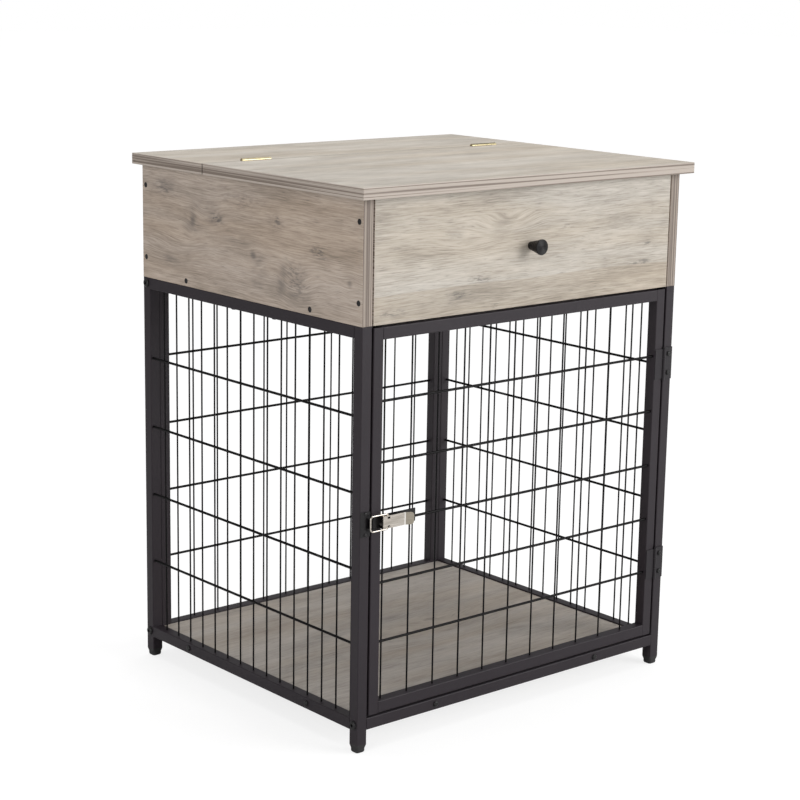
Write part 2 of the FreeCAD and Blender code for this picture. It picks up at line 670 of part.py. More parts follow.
def lid_hinges():
    for side, x in LID_HINGES:
        save("lid_hinge_" + side + "_fixed_leaf", lid_leaf(x, 1, 0))
        save("lid_hinge_" + side + "_moving_leaf", lid_leaf(x, -1, 1))
        half = LID_BARREL / 2
        pin = rod(LID_PIN_RADIUS, (x - half, SPLIT, LID_PIN_Z), (x + half, SPLIT, LID_PIN_Z))
        save("lid_hinge_" + side + "_pin", pin)
    for name, way in (("fixed", 1), ("moving", -1)):
        screws = []
        for _, x in LID_HINGES:
            for seat in lid_screw_seats(x, way):
                tip = (seat[0], seat[1] + way * LID_SCREW_LENGTH, seat[2])
                screws.append(countersunk(seat, way, 0).fuse(rod(LID_SCREW_SHANK, seat, tip)))
        save("lid_hinge_" + name + "_screws", Part.makeCompound(screws))


# Door: a tube frame with its own mesh, in the front plane between the front posts.
def door_frame():
    for name, sign in (("latch", -1), ("hinge", 1)):
        inner = (sign * DOOR_STILE_IN, FRONT, DOOR_BOTTOM)
        stile = tube(inner, (sign * DOOR_SIDE, FRONT_IN, DOOR_TOP), 2)
        save("door_" + name + "_stile", stile)
    for name, z in (("bottom", DOOR_BOTTOM), ("top", DOOR_RAIL_HIGH)):
        rail = tube((-DOOR_STILE_IN, FRONT, z), (DOOR_STILE_IN, FRONT_IN, z + TUBE), 0)
        save("door_" + name + "_rail", rail)
    outer = FRONT + MESH_DEPTH
    inner = outer + WIRE_LAP
    wires = []
    for i in range(DOOR_CROSS_COUNT):
        z = DOOR_RAIL_LOW + (i + 1) * DOOR_CROSS_PITCH
        wires.append(rod(CROSS_RADIUS, (-DOOR_STILE_IN, outer, z), (DOOR_STILE_IN, outer, z)))
    for i in range(DOOR_WIRE_COUNT):
        x = -DOOR_STILE_IN + DOOR_FIRST_WIRE + i * DOOR_WIRE_PITCH
        wires.append(rod(UPRIGHT_RADIUS, (x, inner, DOOR_RAIL_LOW), (x, inner, DOOR_RAIL_HIGH)))
    save("door_mesh", mesh(wires))


# Door hinges: a leaf screwed to the right post, a leaf welded to the door, one pin each.
def leaf_screw_seats():
    """Seats of the post leaves' screws, on the leaves' faces."""
    x = POST_CENTRE_X
    y = FRONT - DOOR_LEAF
    return [(x, y, z + way * DOOR_SCREW_SPREAD) for _, z in DOOR_HINGES for way in (-1, 1)]


def door_hinge_holes(shape):
    """Screw holes of the post leaves."""
    for seat in leaf_screw_seats():
        shape = drill(shape, LEAF_SCREW_SHANK + SHAFT_CLEARANCE, seat, (0, 1, 0), LEAF_SCREW_LENGTH)
    return shape


def door_leaf(z, sign, height, knuckles):
    """Flat leaf on the front plane, joined to its knuckles round the pin."""
    clear = DOOR_PIN_X + sign * (DOOR_KNUCKLE_RADIUS + LID_NOTCH_CLEARANCE)
    far = DOOR_PIN_X + sign * DOOR_LEAF_WIDTH
    face = FRONT - DOOR_LEAF
    leaf = box((clear, face, z - height / 2), (far, FRONT, z + height / 2))
    for low, high in knuckles:
        tongue = box((DOOR_PIN_X, face, z + low), (clear, FRONT, z + high))
        start = (DOOR_PIN_X, DOOR_PIN_Y, z + low)
        leaf = leaf.fuse([tongue, rod(DOOR_KNUCKLE_RADIUS, start, (DOOR_PIN_X, DOOR_PIN_Y, z + high))])
    start = (DOOR_PIN_X, DOOR_PIN_Y, z - DOOR_HINGE_HEIGHT / 2)
    return drill(leaf, DOOR_PIN_RADIUS + SHAFT_CLEARANCE, start, (0, 0, 1), DOOR_HINGE_HEIGHT)


def door_hinges():
    end = DOOR_HINGE_HEIGHT / 2
    third = DOOR_HINGE_HEIGHT / 6
    inner = third - SEAT_CLEARANCE
    for level, z in DOOR_HINGES:
        post_leaf = door_leaf(z, 1, DOOR_HINGE_HEIGHT, [(-end, -third), (third, end)])
        save("door_hinge_" + level + "_post_leaf", door_hinge_holes(post_leaf))
        save("door_hinge_" + level + "_door_leaf", door_leaf(z, -1, DOOR_LEAF_HEIGHT, [(-inner, inner)]))
        pin = rod(DOOR_PIN_RADIUS, (DOOR_PIN_X, DOOR_PIN_Y, z - end), (DOOR_PIN_X, DOOR_PIN_Y, z + end))
        for low, high in ((-end - DOOR_PIN_HEAD, -end), (end, end + DOOR_PIN_HEAD)):
            start = (DOOR_PIN_X, DOOR_PIN_Y, z + low)
            pin = pin.fuse(rod(DOOR_KNUCKLE_RADIUS, start, (DOOR_PIN_X, DOOR_PIN_Y, z + high)))
        save("door_hinge_" + level + "_pin", pin)
    size = (LEAF_SCREW_SHANK, LEAF_SCREW_LENGTH, LEAF_SCREW_HEAD, LEAF_SCREW_HEAD_HEIGHT)
    screws = [domed_screw(seat, (0, 1, 0), *size) for seat in leaf_screw_seats()]
    save("door_hinge_screws", Part.makeCompound(screws))


# Latch catch: plate on the left post with a web standing at the post's inner edge.
def catch_screw_seats():
    """Seats of the catch screws on the plate's face."""
    return [(-POST_CENTRE_X, FRONT - LATCH_SHEET, LATCH_Z + way * CATCH_SCREW_Z) for way in (-1, 1)]


def catch_holes(shape):
    """Screw holes of the catch."""
    for seat in catch_screw_seats():
        shape = drill(shape, CATCH_SCREW_SHANK + SHAFT_CLEARANCE, seat, (0, 1, 0), LEAF_SCREW_LENGTH)
    return shape


def latch_catch():
    half = CATCH_HEIGHT / 2
    corner = (-SIDE + CATCH_MARGIN, FRONT, LATCH_Z - half)
    plate = box(corner, (-SIDE_IN, FRONT - LATCH_SHEET, LATCH_Z + half))
    web = box(
        (-SIDE_IN, FRONT, LATCH_Z - WEB_HEIGHT / 2),
        (-SIDE_IN - LATCH_SHEET, FRONT - WEB_REACH, LATCH_Z + WEB_HEIGHT / 2),
    )
    save("latch_catch", catch_holes(plate.fuse(web)))
    size = (CATCH_SCREW_SHANK, LEAF_SCREW_LENGTH, CATCH_SCREW_HEAD, CATCH_SCREW_HEAD_HEIGHT)
    screws = [domed_screw(seat, (0, 1, 0), *size) for seat in catch_screw_seats()]
    save("latch_catch_screws", Part.makeCompound(screws))


# Latch base: plate on the door's free stile with two ears for the lever pin.
CHEEK_OUT = LEVER_HEIGHT / 2
CHEEK_IN = CHEEK_OUT - LATCH_SHEET
EAR_OUT = CHEEK_IN - SEAT_CLEARANCE
EAR_IN = EAR_OUT - LATCH_SHEET


def latch_pin_hole(shape, radius, x):
    """Takes a hole for a shaft of the latch right through a shape."""
    start = (x, LEVER_PIVOT_Y, LATCH_Z - BAIL_HEIGHT)
    return drill(shape, radius + SHAFT_CLEARANCE, start, (0, 0, 1), 2 * BAIL_HEIGHT)


def latch_base():
    left = LATCH_BASE_INSET - DOOR_SIDE
    half = LATCH_BASE_HEIGHT / 2
    corner = (left + LATCH_BASE_LENGTH, FRONT - LATCH_SHEET, LATCH_Z + half)
    base = box((left, FRONT, LATCH_Z - half), corner)
    for way in (-1, 1):
        low = LATCH_Z + way * EAR_IN
        high = LATCH_Z + way * EAR_OUT
        start = (LEVER_PIVOT_X - EAR_NECK, FRONT, low)
        ear = box(start, (LEVER_PIVOT_X + EAR_NECK, LEVER_PIVOT_Y, high))
        start = (LEVER_PIVOT_X, LEVER_PIVOT_Y, low)
        crown = rod(EAR_RADIUS, start, (LEVER_PIVOT_X, LEVER_PIVOT_Y, high))
        base = base.fuse([ear, crown])
    save("latch_base", latch_pin_hole(base, LATCH_PIN_RADIUS, LEVER_PIVOT_X))
    end = CHEEK_OUT + SEAT_CLEARANCE
    low = (LEVER_PIVOT_X, LEVER_PIVOT_Y, LATCH_Z - end)
    save("latch_lever_pin", rod(LATCH_PIN_RADIUS, low, (LEVER_PIVOT_X, LEVER_PIVOT_Y, LATCH_Z + end)))


# Latch lever: sheet with its tip bent outwards and two cheeks that carry pin and bail.
def latch_lever():
    under = LEVER_PIVOT_Y - EAR_RADIUS - SEAT_CLEARANCE
    heel = LEVER_PIVOT_X - LEVER_HEEL
    bend = LEVER_PIVOT_X + LEVER_FLAT
    tip = bend + LEVER_TIP
    outline = [
        (heel, under),
        (bend, under),
        (tip, under - LEVER_TIP_RISE),
        (tip, under - LEVER_TIP_RISE - LATCH_SHEET),
        (bend, under - LATCH_SHEET),
        (heel, under - LATCH_SHEET),
    ]
    points = [FreeCAD.Vector(x, y, LATCH_Z - CHEEK_OUT) for x, y in outline]
    face = Part.Face(Part.makePolygon(points + points[:1]))
    sheet = face.extrude(FreeCAD.Vector(0, 0, LEVER_HEIGHT))
    blank = box((heel, under, LATCH_Z - CHEEK_OUT), (tip, outline[3][1], LATCH_Z + CHEEK_OUT))
    corners = [e for e in edges_along(blank, 1) if e.CenterOfMass.x > bend]
    blank = blank.makeFillet(LEVER_TIP_ROUND, corners)
    sheet = sheet.common(blank)
    slot = LEVER_PIVOT_X + LEVER_SLOT_START
    cheeks = []
    for way in (-1, 1):
        low = (heel, LEVER_PIVOT_Y + LEVER_CHEEK_DEPTH, LATCH_Z + way * CHEEK_IN)
        cheeks.append(box(low, (LEVER_PIVOT_X + LEVER_CHEEK, under, LATCH_Z + way * CHEEK_OUT)))
        inner = (slot, under, LATCH_Z + way * (CHEEK_IN - LEVER_SLOT_HEIGHT))
        outer = (slot + LEVER_SLOT_LENGTH, under - LATCH_SHEET, LATCH_Z + way * CHEEK_IN)
        sheet = sheet.cut(box(inner, outer))
    lever = sheet.fuse(cheeks)
    lever = latch_pin_hole(lever, LATCH_PIN_RADIUS, LEVER_PIVOT_X)
    save("latch_lever", latch_pin_hole(lever, BAIL_RADIUS, BAIL_PIVOT_X))


# Latch bail: wire bent to a loop, its ends in the lever's cheeks and its bar behind the web.
def latch_bail():
    arm = BAIL_HEIGHT / 2 - BAIL_RADIUS
    end = CHEEK_IN - BAIL_END_GAP
    corners = [(BAIL_PIVOT_X, -end), (BAIL_PIVOT_X, -arm), (BAIL_BAR_X, -arm)]
    corners += [(BAIL_BAR_X, arm), (BAIL_PIVOT_X, arm), (BAIL_PIVOT_X, end)]
    path = [(x, LEVER_PIVOT_Y, LATCH_Z + z) for x, z in corners]
    bends = (BAIL_END_BEND, BAIL_BEND, BAIL_BEND, BAIL_END_BEND)
    save("latch_bail", bent_rod(BAIL_RADIUS, path, bends))


os.makedirs("parts", exist_ok=True)
frame_bolts()
posts()
foot_plugs()
side_rails()
front_bottom_rail()
back_frame()
side_meshes()
back_mesh()
floor_board()
floor_screws()
box_side_panels()
box_front_panel()
box_back_panel()
box_base()
panel_screws()
rail_screws()
knob()
top_boards()
dowels()
lid_hinges()
door_frame()
door_hinges()
latch_catch()
latch_base()
latch_lever()
latch_bail()
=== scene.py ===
import math

import bpy
import mathutils
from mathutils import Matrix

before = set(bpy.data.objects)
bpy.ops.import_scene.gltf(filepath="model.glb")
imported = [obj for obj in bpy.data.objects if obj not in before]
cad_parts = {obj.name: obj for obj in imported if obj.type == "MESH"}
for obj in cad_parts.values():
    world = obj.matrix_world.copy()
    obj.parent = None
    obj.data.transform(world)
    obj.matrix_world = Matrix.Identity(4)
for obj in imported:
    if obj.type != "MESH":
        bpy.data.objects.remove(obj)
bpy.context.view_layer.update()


# Posts, rails and stiles: 16 mm square steel tube, welded and bolted, powder coated in a
# satin charcoal. The coat hides the steel, softens the corners and shows a faint
# orange-peel texture.

def hex_colour(code):
    """sRGB hex to the linear colour that a shader takes."""
    parts = [int(code[i:i + 2], 16) / 255 for i in (1, 3, 5)]
    return [p / 12.92 if p <= 0.04045 else ((p + 0.055) / 1.055) ** 2.4 for p in parts] + [1.0]


def new_finish(name):
    """A new material with an empty node tree."""
    finish = bpy.data.materials.new(name)
    finish.use_nodes = True
    finish.node_tree.nodes.clear()
    return finish, finish.node_tree


def add(tree, kind, inputs=None, **settings):
    """Adds one node; inputs gives values for its sockets, or other nodes' sockets to link."""
    made = tree.nodes.new(kind)
    for key, value in settings.items():
        setattr(made, key, value)
    for key, value in (inputs or {}).items():
        if isinstance(value, bpy.types.NodeSocket):
            tree.links.new(value, made.inputs[key])
        else:
            made.inputs[key].default_value = value
    return made


def dress(finish, *nodes):
    """Gives CAD nodes a finish."""
    for name in nodes:
        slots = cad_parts[name].data.materials
        slots.clear()
        slots.append(finish)


PEEL_WIDTH = 0.0016
PATCH_WIDTH = 0.11


def coated_steel(name, dark, light, roughness, specular):
    """Powder coat over steel. The peel is 1.6 mm wide, coarser than the real 0.5 mm so that
    it shows, and the coat's tone wanders over 110 mm. A low specular keeps the reflection of
    the pale surround down, as the real coat's fine texture does."""
    finish, tree = new_finish(name)
    place = add(tree, "ShaderNodeTexCoord").outputs["Object"]
    patches = add(tree, "ShaderNodeTexNoise", {"Vector": place, "Scale": 1 / PATCH_WIDTH, "Detail": 3.0})
    peel = add(tree, "ShaderNodeTexNoise", {"Vector": place, "Scale": 1 / PEEL_WIDTH, "Detail": 2.0})
    tone = add(tree, "ShaderNodeMix", {
        0: patches.outputs["Fac"], 6: hex_colour(dark), 7: hex_colour(light)}, data_type="RGBA")
    gloss = add(tree, "ShaderNodeMapRange", {
        "Value": peel.outputs["Fac"], "To Min": roughness - 0.05, "To Max": roughness + 0.07})
    bump = add(tree, "ShaderNodeBump", {
        "Height": peel.outputs["Fac"], "Strength": 0.25, "Distance": 0.0002})
    shader = add(tree, "ShaderNodeBsdfPrincipled", {
        "Base Color": tone.outputs[2], "Roughness": gloss.outputs["Result"],
        "Specular IOR Level": specular, "Normal": bump.outputs["Normal"]})
    add(tree, "ShaderNodeOutputMaterial", {"Surface": shader.outputs["BSDF"]})
    return finish


charcoal_coat = coated_steel(
    "satin_charcoal_powder_coat", "#211b20", "#292328", roughness=0.45, specular=0.28)
dress(charcoal_coat,
      "front_left_post", "front_right_post", "rear_left_post", "rear_right_post",
      "left_bottom_rail", "right_bottom_rail", "left_top_rail", "right_top_rail",
      "front_bottom_rail", "back_bottom_rail", "back_top_rail",
      "back_left_stile", "back_right_stile",
      "door_latch_stile", "door_hinge_stile", "door_top_rail", "door_bottom_rail")


# Meshes: 3.5 mm cross wires and 2.3 mm uprights of drawn steel, welded at the crossings and
# coated with their frames. The round wires look nearly black, with a narrow highlight.

wire_coat = coated_steel(
    "wire_charcoal_powder_coat", "#080708", "#0d0b0d", roughness=0.36, specular=0.1)
dress(wire_coat, "left_mesh", "right_mesh", "back_mesh", "door_mesh")


# Foot plugs: moulded polypropylene caps pressed into the posts. The mould leaves a fine matt
# spark texture, 1.2 mm wide here, on a black a little lighter than soot.

SPARK_WIDTH = 0.0012
moulded_black, tree = new_finish("moulded_black_polypropylene")
place = add(tree, "ShaderNodeTexCoord").outputs["Object"]
spark = add(tree, "ShaderNodeTexNoise", {"Vector": place, "Scale": 1 / SPARK_WIDTH, "Detail": 2.0})
shade = add(tree, "ShaderNodeValToRGB", {"Fac": spark.outputs["Fac"]})
shade.color_ramp.elements[0].color = hex_colour("#151415")
shade.color_ramp.elements[1].color = hex_colour("#222121")
bump = add(tree, "ShaderNodeBump", {
    "Height": spark.outputs["Fac"], "Strength": 0.3, "Distance": 0.0002})
shader = add(tree, "ShaderNodeBsdfPrincipled", {
    "Base Color": shade.outputs["Color"], "Roughness": 0.6, "Normal": bump.outputs["Normal"]})
add(tree, "ShaderNodeOutputMaterial", {"Surface": shader.outputs["BSDF"]})
dress(moulded_black, "foot_plugs")


# Bolts and screws: steel, blackened and oiled, so they are satin black with brighter scuffs
# on the crowns. The scuffs are 4 mm patches.

SCUFF_WIDTH = 0.004
black_fastener, tree = new_finish("black_oxide_steel")
place = add(tree, "ShaderNodeTexCoord").outputs["Object"]
scuffs = add(tree, "ShaderNodeTexNoise", {"Vector": place, "Scale": 1 / SCUFF_WIDTH, "Detail": 5.0})
shade = add(tree, "ShaderNodeValToRGB", {"Fac": scuffs.outputs["Fac"]})
shade.color_ramp.elements[0].position = 0.35
shade.color_ramp.elements[0].color = hex_colour("#080708")
shade.color_ramp.elements[1].position = 0.8
shade.color_ramp.elements[1].color = hex_colour("#141213")
gloss = add(tree, "ShaderNodeMapRange", {
    "Value": scuffs.outputs["Fac"], "To Min": 0.26, "To Max": 0.42})
shader = add(tree, "ShaderNodeBsdfPrincipled", {
    "Base Color": shade.outputs["Color"], "Roughness": gloss.outputs["Result"],
    "Specular IOR Level": 0.4})
add(tree, "ShaderNodeOutputMaterial", {"Surface": shader.outputs["BSDF"]})
dress(black_fastener, "frame_bolts", "floor_screws", "panel_screws", "box_to_frame_screws",
      "door_hinge_screws", "latch_catch_screws")


# Panels: particle board faced with a grey-washed oak print under matt melamine, their edges
# banded with foil in stripes 1.4 to 1.7 mm wide, and screwed together from the sides. The
# print has long grain, arched heart figure, a few knots, smudges and short dark pores.

GRAIN_DRIFT = 0.012
BROAD_WIDTH = 0.030
GRAIN_WIDTH = 0.006
FIBRE_WIDTH = 0.0016
WARM_WIDTH = 0.07
PORE_WIDTH = 0.0014
CLOUD_WIDTH = 0.012
DASH_WIDTH = 0.0035
KNOT_SPREAD = 3.2
SEAM_BLUR = 0.001
# Painted shade of the gap at the split: full within 1.2 mm of it, none beyond 1.8 mm.
GAP_SHADE_INNER, GAP_SHADE_OUTER = 0.0012, 0.0018


def grey_oak(name, along, across, shades, stripes, figures=(), knots=(), smudges=(), flecks=(),
             seam=None, split=None):
    """Laminate on boards whose grain runs along one axis, 0 to 2 for X to Z. Broad shading is
    30 mm wide, the grain 6 mm and its fibres 1.6 mm, which run on for 170, 125 and 33 mm;
    finer ones would not show. shades are the print's dark, middle and light tones, its marks'
    tone and the foil's two tones, and stripes gives the foil's pattern per metre along X, Y
    and Z. A mark is its place along and across the grain in metres, its reach, its turn and
    its strength: figures arch the grain, knots part it, smudges are clouds and flecks are
    dashes. Below the seam the print is a little darker and warmer. At the split a dark line
    1 mm wide on each board's top is painted shade of the gap between the boards."""
    finish, tree = new_finish(name)
    coords = add(tree, "ShaderNodeTexCoord")
    axes = add(tree, "ShaderNodeSeparateXYZ", {"Vector": coords.outputs["Object"]})
    run = axes.outputs[along]
    rise = axes.outputs[across]
    flat = add(tree, "ShaderNodeCombineXYZ", {0: run, 1: rise}).outputs[0]

    def spot(at, reach, turn):
        """An ellipse round a place: its bell, 1 in the middle and 0 at the rim, and its own
        coordinates."""
        local = add(tree, "ShaderNodeMapping", {
            "Vector": flat, "Location": (*at, 0), "Rotation": (0, 0, turn), "Scale": (*reach, 1)},
            vector_type="TEXTURE").outputs[0]
        away = add(tree, "ShaderNodeVectorMath", {0: local}, operation="LENGTH").outputs["Value"]
        bell = add(tree, "ShaderNodeMapRange", {"Value": away, "From Min": 1.0, "From Max": 0.0},
                   interpolation_type="SMOOTHERSTEP").outputs["Result"]
        return bell, local

    wander = add(tree, "ShaderNodeTexNoise", {"Vector": flat, "Scale": 4.0, "Detail": 2.0})
    rise = add(tree, "ShaderNodeMath", {0: wander.outputs["Fac"], 1: GRAIN_DRIFT, 2: rise},
               operation="MULTIPLY_ADD").outputs[0]
    for at, reach, turn, lift in figures:
        bell = spot(at, reach, turn)[0]
        rise = add(tree, "ShaderNodeMath", {0: bell, 1: lift, 2: rise},
                   operation="MULTIPLY_ADD").outputs[0]
    cores = []
    for at, reach, turn, depth in knots:
        bell, local = spot(at, [KNOT_SPREAD * r for r in reach], turn)
        side = add(tree, "ShaderNodeSeparateXYZ", {0: local}).outputs[1]
        part = add(tree, "ShaderNodeMath", {0: bell, 1: side}, operation="MULTIPLY").outputs[0]
        rise = add(tree, "ShaderNodeMath", {0: part, 1: -reach[1], 2: rise},
                   operation="MULTIPLY_ADD").outputs[0]
        cores.append((spot(at, reach, turn)[0], depth))

    def grain(runs, width, detail, shift):
        """Noise drawn out along the grain, with its runs per metre and its width."""
        a = add(tree, "ShaderNodeMath", {0: run, 1: runs}, operation="MULTIPLY").outputs[0]
        b = add(tree, "ShaderNodeMath", {0: rise, 1: 1 / width}, operation="MULTIPLY").outputs[0]
        drawn = add(tree, "ShaderNodeCombineXYZ", {0: a, 1: b, 2: shift}).outputs[0]
        return add(tree, "ShaderNodeTexNoise", {
            "Vector": drawn, "Scale": 1.0, "Detail": detail, "Roughness": 0.6}).outputs["Fac"]

    broad = grain(6.0, BROAD_WIDTH, 3.0, 0.3)
    lines = grain(8.0, GRAIN_WIDTH, 4.0, 4.7)
    fibres = grain(30.0, FIBRE_WIDTH, 3.0, 9.1)
    mix = 0.0
    for layer, share in ((broad, 0.35), (lines, 0.20), (fibres, 0.45)):
        mix = add(tree, "ShaderNodeMath", {0: layer, 1: share, 2: mix},
                  operation="MULTIPLY_ADD").outputs[0]
    print_tone = add(tree, "ShaderNodeValToRGB", {"Fac": mix})
    ramp = print_tone.color_ramp
    ramp.elements[0].position = 0.37
    ramp.elements[0].color = hex_colour(shades[0])
    ramp.elements[1].position = 0.63
    ramp.elements[1].color = hex_colour(shades[2])
    ramp.elements.new(0.5).color = hex_colour(shades[1])

    masks = {}
    for kind, runs, width, detail, shift, low, high, depth in (
            ("warm", 1.5, WARM_WIDTH, 2.0, 21.0, 0.42, 0.62, 1.0),
            ("pores", 45.0, PORE_WIDTH, 2.0, 15.0, 0.60, 0.74, 0.55),
            ("clouds", 22.0, CLOUD_WIDTH, 4.0, 33.0, 0.36, 0.62, 1.0),
            ("dashes", 70.0, DASH_WIDTH, 3.0, 41.0, 0.46, 0.60, 1.0)):
        masks[kind] = add(tree, "ShaderNodeMapRange", {
            "Value": grain(runs, width, detail, shift), "From Min": low, "From Max": high,
            "To Max": depth}).outputs["Result"]
    layers = [(masks["warm"], "#faf5ee", "MULTIPLY")]
    if seam:
        below = add(tree, "ShaderNodeMapRange", {
            "Value": rise, "From Min": seam + SEAM_BLUR, "From Max": seam - SEAM_BLUR,
            "To Max": 0.8}).outputs["Result"]
        layers.append((below, "#efe9e1", "MULTIPLY"))
    layers.append((masks["pores"], shades[3], "MIX"))
    for marks, mask in ((smudges, masks["clouds"]), (flecks, masks["dashes"])):
        for at, reach, turn, depth in marks:
            core = add(tree, "ShaderNodeMath", {0: spot(at, reach, turn)[0], 1: mask},
                       operation="MULTIPLY").outputs[0]
            cores.append((core, depth))
    for core, depth in cores:
        amount = add(tree, "ShaderNodeMath", {0: core, 1: depth}, operation="MULTIPLY").outputs[0]
        layers.append((amount, shades[3], "MIX"))
    colour = print_tone.outputs["Color"]
    for amount, tone, blend in layers:
        colour = add(tree, "ShaderNodeMix", {0: amount, 6: colour, 7: hex_colour(tone)},
                     data_type="RGBA", blend_type=blend).outputs[2]

    striped = add(tree, "ShaderNodeMapping", {"Vector": coords.outputs["Object"], "Scale": stripes})
    foil = add(tree, "ShaderNodeTexNoise", {
        "Vector": striped.outputs["Vector"], "Scale": 1.0, "Detail": 3.0})
    foil_tone = add(tree, "ShaderNodeValToRGB", {"Fac": foil.outputs["Fac"]})
    foil_tone.color_ramp.elements[0].position = 0.45
    foil_tone.color_ramp.elements[0].color = hex_colour(shades[4])
    foil_tone.color_ramp.elements[1].position = 0.53
    foil_tone.color_ramp.elements[1].color = hex_colour(shades[5])
    facing = add(tree, "ShaderNodeSeparateXYZ", {"Vector": coords.outputs["Normal"]})
    through = 3 - along - across
    level = add(tree, "ShaderNodeMath", {0: facing.outputs[through]},
                operation="ABSOLUTE").outputs[0]
    is_face = add(tree, "ShaderNodeMapRange", {
        "Value": level, "From Min": 0.5, "From Max": 0.8}).outputs["Result"]
    colour = add(tree, "ShaderNodeMix", {0: is_face, 6: foil_tone.outputs["Color"], 7: colour},
                 data_type="RGBA").outputs[2]
    # Painted shade: the tops darken next to the split, where the gap between the boards lies in shade.
    # The end faces are left out.
    if split:
        off = add(tree, "ShaderNodeMath", {0: axes.outputs[across], 1: split},
                  operation="SUBTRACT").outputs[0]
        off = add(tree, "ShaderNodeMath", {0: off}, operation="ABSOLUTE").outputs[0]
        gap_shade = add(tree, "ShaderNodeMapRange", {
            "Value": off, "From Min": GAP_SHADE_OUTER, "From Max": GAP_SHADE_INNER,
            "To Max": 0.9}).outputs["Result"]
        inner = add(tree, "ShaderNodeMath", {0: facing.outputs[across]},
                    operation="ABSOLUTE").outputs[0]
        gap_shade = add(tree, "ShaderNodeMath", {0: gap_shade, 1: inner}, operation="SUBTRACT",
                  use_clamp=True).outputs[0]
        colour = add(tree, "ShaderNodeMix", {0: gap_shade, 6: colour, 7: hex_colour("#4a423c")},
                     data_type="RGBA").outputs[2]
    gloss = add(tree, "ShaderNodeMapRange", {
        "Value": lines, "To Min": 0.5, "To Max": 0.64}).outputs["Result"]
    bump = add(tree, "ShaderNodeBump", {"Height": fibres, "Strength": 0.15, "Distance": 0.0003})
    shader = add(tree, "ShaderNodeBsdfPrincipled", {
        "Base Color": colour, "Roughness": gloss, "Normal": bump.outputs["Normal"]})
    add(tree, "ShaderNodeOutputMaterial", {"Surface": shader.outputs["BSDF"]})
    return finish


SIDE_STRIPES = (1 / 0.0017, 1.4, 1.4)
BOX_STRIPES = (3.0, 3.0, 1 / 0.0014)
# The side panels take a warmer copy of the print and a darker copy of the edge foil: painted warm light
# on the sides and painted shade on their edges.
side_oak = grey_oak(
    "grey_oak_side_panels", 1, 2,
    ("#857a6e", "#a7998d", "#beb1a5", "#56514e", "#695d54", "#968a7f"), SIDE_STRIPES,
    figures=[((-0.105, 0.590), (0.060, 0.055), 0.35, 0.012), ((0.10, 0.660), (0.07, 0.045), 0.2, 0.008),
             ((0.17, 0.610), (0.10, 0.04), -0.2, 0.008)],
    knots=[((0.129, 0.653), (0.010, 0.013), 0.0, 0.6), ((-0.009, 0.622), (0.012, 0.009), 0.5, 0.65),
           ((-0.210, 0.611), (0.008, 0.008), 0.3, 0.45)],
    smudges=[((0.189, 0.694), (0.045, 0.018), 0.1, 0.45), ((0.184, 0.592), (0.034, 0.014), 0.1, 0.45),
             ((-0.022, 0.600), (0.020, 0.038), 0.3, 0.7), ((-0.072, 0.599), (0.016, 0.042), 0.3, 0.55),
             ((-0.109, 0.590), (0.034, 0.034), 0.2, 0.45), ((0.10, 0.665), (0.065, 0.034), 0.1, 0.45),
             ((0.02, 0.64), (0.06, 0.02), 0.1, 0.3), ((0.129, 0.653), (0.034, 0.034), 0.1, 0.5)],
    flecks=[((-0.059, 0.672), (0.026, 0.014), 0.1, 0.8), ((-0.149, 0.642), (0.034, 0.014), 0.1, 0.8),
            ((0.074, 0.661), (0.026, 0.016), 0.2, 0.9), ((0.20, 0.69), (0.04, 0.02), 0.1, 0.6),
            ((-0.10, 0.60), (0.05, 0.040), 0.4, 0.6), ((0.02, 0.69), (0.10, 0.02), 0.0, 0.35)])
dress(side_oak, "box_left_panel", "box_right_panel")

oak_shades = ("#8f887e", "#ada69c", "#bfb9b0", "#5b5753", "#74685e", "#aca197")
front_oak = grey_oak(
    "grey_oak_front_panel", 0, 2,
    ("#8a8379", "#ada69c", "#c1bbb2", "#57534f", "#74685e", "#aca197"), BOX_STRIPES,
    figures=[((-0.040, 0.671), (0.080, 0.026), 0.0, 0.012), ((-0.11, 0.655), (0.09, 0.03), 0.1, 0.006)],
    smudges=[((-0.135, 0.664), (0.028, 0.013), 0.0, 0.4), ((-0.050, 0.672), (0.03, 0.010), 0.0, 0.25),
             ((-0.124, 0.585), (0.040, 0.014), 0.1, 0.35), ((0.23, 0.64), (0.05, 0.02), 0.0, 0.25),
             ((-0.235, 0.573), (0.04, 0.01), 0.0, 0.35), ((0.15, 0.665), (0.10, 0.02), 0.0, 0.25)],
    flecks=[((-0.089, 0.603), (0.030, 0.008), -0.1, 0.8), ((-0.124, 0.585), (0.034, 0.009), -0.1, 0.8),
            ((-0.063, 0.566), (0.010, 0.005), 0.0, 0.9), ((0.212, 0.600), (0.040, 0.007), 0.0, 0.7),
            ((0.069, 0.660), (0.020, 0.005), -0.1, 0.6), ((0.223, 0.625), (0.016, 0.005), 0.0, 0.8),
            ((-0.235, 0.573), (0.040, 0.008), 0.0, 0.6)],
    seam=0.603)
dress(front_oak, "box_front_panel", "box_back_panel")

base_oak = grey_oak("grey_oak_box_base", 0, 1, oak_shades, BOX_STRIPES,
                    figures=[((0.1, 0.05), (0.2, 0.06), 0.0, 0.02)])
dress(base_oak, "box_base")


# Crate floor: laminated board with the same print, let in between the rails and screwed
# through them. Its tones are a darker grey than the box's, painted shade inside the crate.

